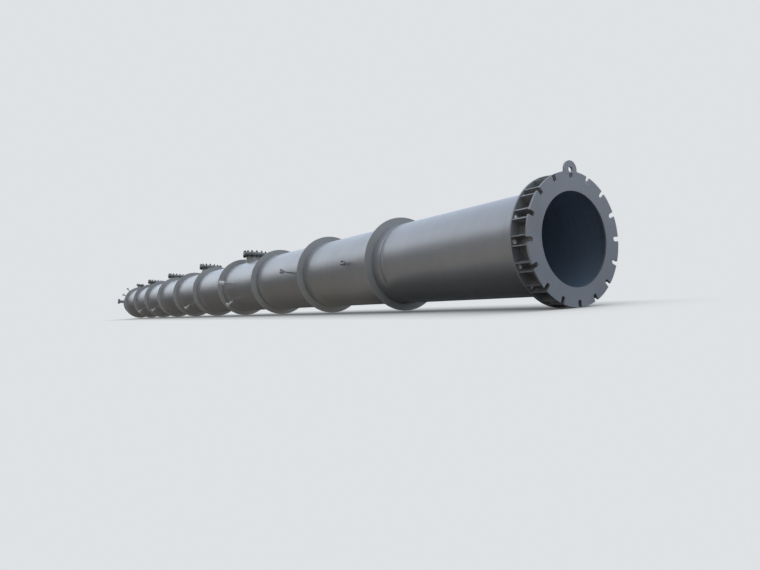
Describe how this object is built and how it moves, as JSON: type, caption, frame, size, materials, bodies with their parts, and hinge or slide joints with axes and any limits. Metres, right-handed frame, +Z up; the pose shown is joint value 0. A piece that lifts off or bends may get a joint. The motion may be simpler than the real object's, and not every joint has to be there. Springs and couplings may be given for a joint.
{
  "type": "distillation column",
  "caption": "Tall cylindrical steel distillation column on a skirt, with anchor chairs, tailing lug, insulation support rings, manways and flanged nozzles.",
  "frame": {"origin": "centre of the underside of the base ring, on the foundation", "axes": "+Z up the column's axis to the top head, +X to the tailing lug (the manways stand 8 degrees beside it), -Y to the side that faces the camera in the picture"},
  "size_m": [2.0175, 2.0147, 32.807],
  "materials": {
    "shell_paint": "semi-gloss grey paint over primer",
    "ring_paint": "satin grey paint",
    "base_paint": "satin bluish grey paint",
    "primed_steel": "matt dark primer",
    "cover_paint": "satin dark grey paint"
  },
  "bodies": {
    "root": {"base_ring": "base_paint", "tailing_lug": "base_paint", "anchor_gussets": "base_paint", "compression_ring": "base_paint", "skirt": "shell_paint", "bottom_head": "primed_steel", "shell_course_1": "shell_paint", "shell_course_2": "shell_paint", "shell_course_3": "shell_paint", "shell_course_4": "shell_paint", "shell_course_5": "shell_paint", "shell_course_6": "shell_paint", "shell_course_7": "shell_paint", "shell_course_8": "shell_paint", "shell_course_9": "shell_paint", "shell_course_10": "shell_paint", "top_head": "shell_paint", "insulation_ring_1": "ring_paint", "insulation_ring_2": "ring_paint", "insulation_ring_3": "ring_paint", "insulation_ring_4": "ring_paint", "insulation_ring_5": "ring_paint", "insulation_ring_6": "ring_paint", "insulation_ring_7": "ring_paint", "insulation_ring_8": "ring_paint", "insulation_ring_9": "ring_paint", "insulation_ring_10": "ring_paint", "manway_1": "shell_paint", "manway_2": "shell_paint", "manway_3": "shell_paint", "manway_4": "shell_paint", "vent_nozzle": "shell_paint", "reflux_nozzle": "shell_paint", "vapour_nozzle": "shell_paint", "manway_covers": "cover_paint", "nozzle_covers": "cover_paint", "instrument_nozzles": "shell_paint", "instrument_blinds": "cover_paint"}
  },
  "joints": []
}
